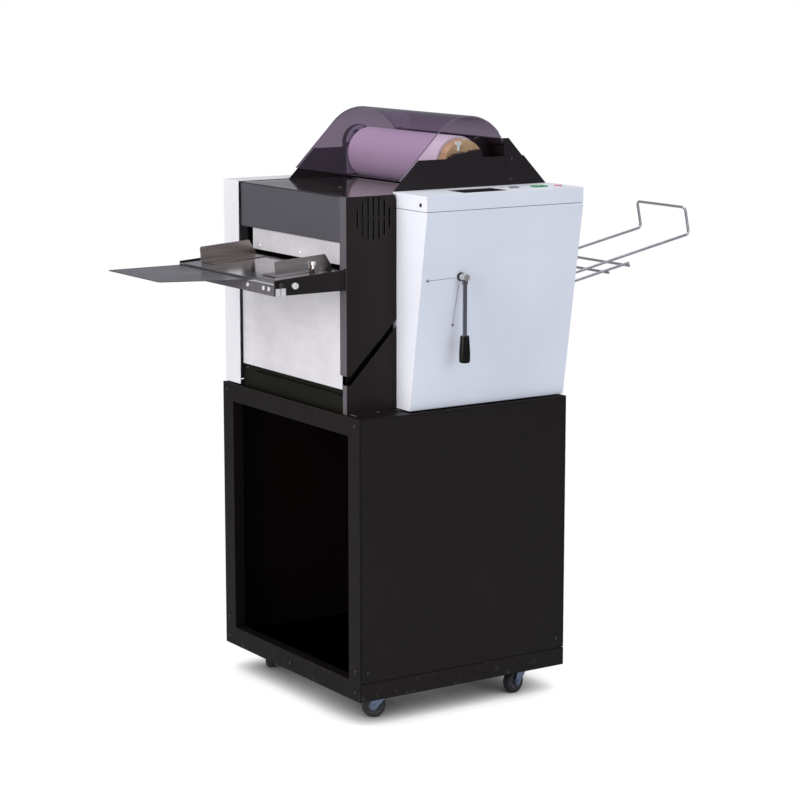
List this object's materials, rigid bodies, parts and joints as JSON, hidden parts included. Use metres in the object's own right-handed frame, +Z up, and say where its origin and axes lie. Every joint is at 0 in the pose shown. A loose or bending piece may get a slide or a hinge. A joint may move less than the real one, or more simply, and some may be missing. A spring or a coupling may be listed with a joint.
{
  "type": "roll laminator",
  "caption": "Sheet-fed roll laminator on a castored stand: feed tray, film roll under an arched smoked cover, pressure lever, top control panel and a sloping wire catcher.",
  "frame": {"origin": "on the floor, on the stand's centre line, directly under the front face of the stand", "axes": "+X towards the operator's side with the lever, +Y from the feed side to the rear, +Z up"},
  "size_m": [0.624, 1.3284, 1.2395],
  "materials": {
    "stand_black": "satin powder coat",
    "frame_black": "satin powder coat",
    "screw_steel": "zinc plated",
    "castor_zinc": "blue zinc plated",
    "castor_rubber": "matt",
    "housing_black": "satin paint",
    "top_black": "gloss paint",
    "hood_grey": "satin paint",
    "bracket_black": "satin paint",
    "frame_steel": "plain",
    "galvanised": "galvanised sheet",
    "cover_white": "satin paint",
    "cover_light": "satin paint",
    "display_black": "gloss",
    "key_grey": "matt",
    "key_green": "gloss",
    "key_red": "gloss",
    "stainless": "polished stainless steel",
    "plate_gloss": "gloss paint",
    "smoked_acrylic": "clear smoked",
    "film_lilac": "satin film",
    "cardboard": "wound cardboard",
    "shaft_steel": "ground",
    "roller_aluminium": "coated",
    "roller_rubber": "silicone",
    "motor_grey": "painted",
    "board_green": "circuit board",
    "bushing_black": "moulded",
    "lever_chrome": "polished",
    "wire_steel": "polished"
  },
  "bodies": {
    "machine": {"left_side_panel": "stand_black", "right_side_panel": "stand_black", "back_panel": "stand_black", "stand_top": "stand_black", "floor_pan": "stand_black", "front_frame": "frame_black", "case_screws": "screw_steel", "tray_thumbscrews": "screw_steel", "base_pan": "housing_black", "side_gusset": "housing_black", "vent_side_panel": "housing_black", "rear_cover": "housing_black", "tray_frame": "housing_black", "top_plate": "top_black", "front_hood": "hood_grey", "left_bracket": "bracket_black", "right_bracket": "bracket_black", "bay_rear_plate": "bracket_black", "left_frame_plate": "frame_steel", "right_frame_plate": "frame_steel", "lower_front_panel": "galvanised", "entry_plate": "galvanised", "left_cover": "cover_white", "right_cover": "cover_light", "control_box": "cover_light", "display": "display_black", "tray_table": "stainless", "drive_motor": "motor_grey", "control_board": "board_green", "lever_bushing": "bushing_black", "power_inlet": "bushing_black", "catch_rack": "wire_steel"},
    "swivel_fr": {"castor_fork_fr": "castor_zinc"},
    "swivel_fl": {"castor_fork_fl": "castor_zinc"},
    "swivel_rr": {"castor_fork_rr": "castor_zinc"},
    "swivel_rl": {"castor_fork_rl": "castor_zinc"},
    "wheel_fr": {"castor_wheel_fr": "castor_rubber"},
    "wheel_fl": {"castor_wheel_fl": "castor_rubber"},
    "wheel_rr": {"castor_wheel_rr": "castor_rubber"},
    "wheel_rl": {"castor_wheel_rl": "castor_rubber"},
    "extension": {"extension_plate": "plate_gloss"},
    "guide_left": {"left_guide": "stainless"},
    "guide_right": {"right_guide": "stainless"},
    "menu": {"menu_key": "key_grey"},
    "start": {"start_button": "key_green"},
    "stop": {"stop_button": "key_red"},
    "cover": {"film_cover": "smoked_acrylic", "hinge_bar": "bracket_black"},
    "roll": {"film_roll": "film_lilac", "film_core": "cardboard", "roll_shaft": "shaft_steel"},
    "film_guide": {"guide_bar": "shaft_steel"},
    "heat": {"heat_roller": "roller_aluminium"},
    "lever": {"lever_shaft": "lever_chrome", "lever_rod": "lever_chrome", "lever_grip": "bushing_black"},
    "carriage": {"pressure_carriage": "frame_steel"},
    "pressure": {"pressure_roller": "roller_rubber"},
    "catcher": {"catch_loop": "wire_steel"},
    "switch": {"main_switch": "bushing_black"}
  },
  "joints": [
    {"name": "swivel_fr_turn", "type": "hinge", "parent": "machine", "child": "swivel_fr", "pos_m": [0.236, 0.09, 0.07], "axis": [0, 0, 1], "continuous": true},
    {"name": "wheel_fr_roll", "type": "hinge", "parent": "swivel_fr", "child": "wheel_fr", "pos_m": [0.22238, 0.06903, 0.025], "axis": [0.8387, -0.5446, 0], "continuous": true},
    {"name": "swivel_fl_turn", "type": "hinge", "parent": "machine", "child": "swivel_fl", "pos_m": [-0.236, 0.09, 0.07], "axis": [0, 0, 1], "continuous": true},
    {"name": "wheel_fl_roll", "type": "hinge", "parent": "swivel_fl", "child": "wheel_fl", "pos_m": [-0.21527, 0.07602, 0.025], "axis": [0.5592, 0.829, 0], "continuous": true},
    {"name": "swivel_rr_turn", "type": "hinge", "parent": "machine", "child": "swivel_rr", "pos_m": [0.236, 0.438, 0.07], "axis": [0, 0, 1], "continuous": true},
    {"name": "wheel_rr_roll", "type": "hinge", "parent": "swivel_rr", "child": "wheel_rr", "pos_m": [0.24247, 0.41385, 0.025], "axis": [0.9659, 0.2588, 0], "continuous": true},
    {"name": "swivel_rl_turn", "type": "hinge", "parent": "machine", "child": "swivel_rl", "pos_m": [-0.236, 0.438, 0.07], "axis": [0, 0, 1], "continuous": true},
    {"name": "wheel_rl_roll", "type": "hinge", "parent": "swivel_rl", "child": "wheel_rl", "pos_m": [-0.25949, 0.42945, 0.025], "axis": [0.342, -0.9397, 0], "continuous": true},
    {"name": "extension_slide", "type": "slide", "parent": "machine", "child": "extension", "axis": [0, 1, 0], "range_m": [0, 0.14]},
    {"name": "left_guide_slide", "type": "slide", "parent": "machine", "child": "guide_left", "axis": [1, 0, 0], "range_m": [-0.03, 0.06]},
    {"name": "right_guide_slide", "type": "slide", "parent": "machine", "child": "guide_right", "axis": [1, 0, 0], "range_m": [-0.06, 0.02]},
    {"name": "menu_press", "type": "slide", "parent": "machine", "child": "menu", "axis": [0, 0, -1], "range_m": [0, 0.0015], "stiffness_N_per_m": 300, "springref_m": -0.001},
    {"name": "start_press", "type": "slide", "parent": "machine", "child": "start", "axis": [0, 0, -1], "range_m": [0, 0.0015], "stiffness_N_per_m": 300, "springref_m": -0.001},
    {"name": "stop_press", "type": "slide", "parent": "machine", "child": "stop", "axis": [0, 0, -1], "range_m": [0, 0.0015], "stiffness_N_per_m": 300, "springref_m": -0.001},
    {"name": "cover_hinge", "type": "hinge", "parent": "machine", "child": "cover", "pos_m": [0, 0.4115, 1.183], "axis": [-1, 0, 0], "range_deg": [0, 95]},
    {"name": "roll_spin", "type": "hinge", "parent": "machine", "child": "roll", "pos_m": [0, 0.318, 1.1405], "axis": [1, 0, 0], "continuous": true},
    {"name": "film_guide_spin", "type": "hinge", "parent": "machine", "child": "film_guide", "pos_m": [0, 0.27, 1.081], "axis": [1, 0, 0], "continuous": true},
    {"name": "heat_roller_spin", "type": "hinge", "parent": "machine", "child": "heat", "pos_m": [0, 0.285, 0.97015], "axis": [1, 0, 0], "continuous": true},
    {"name": "lever_turn", "type": "hinge", "parent": "machine", "child": "lever", "pos_m": [0, 0.224, 0.9235], "axis": [-1, 0, 0], "range_deg": [0, 88]},
    {"name": "carriage_drop", "type": "slide", "parent": "machine", "child": "carriage", "axis": [0, 0, -1], "range_m": [0, 0.004]},
    {"name": "pressure_roller_spin", "type": "hinge", "parent": "carriage", "child": "pressure", "pos_m": [0, 0.285, 0.90985], "axis": [1, 0, 0], "continuous": true},
    {"name": "catcher_slide", "type": "slide", "parent": "machine", "child": "catcher", "axis": [0, 0.9796, 0.2011], "range_m": [-0.16, 0]},
    {"name": "switch_rock", "type": "hinge", "parent": "machine", "child": "switch", "pos_m": [0.24, 0.52, 0.728], "axis": [-1, 0, 0], "range_deg": [0, 15]}
  ],
  "couplings": [
    {"joint": "carriage_drop", "follows": "lever_turn", "m_per_rad": 0.0026},
    {"joint": "pressure_roller_spin", "follows": "heat_roller_spin", "ratio": -1}
  ]
}
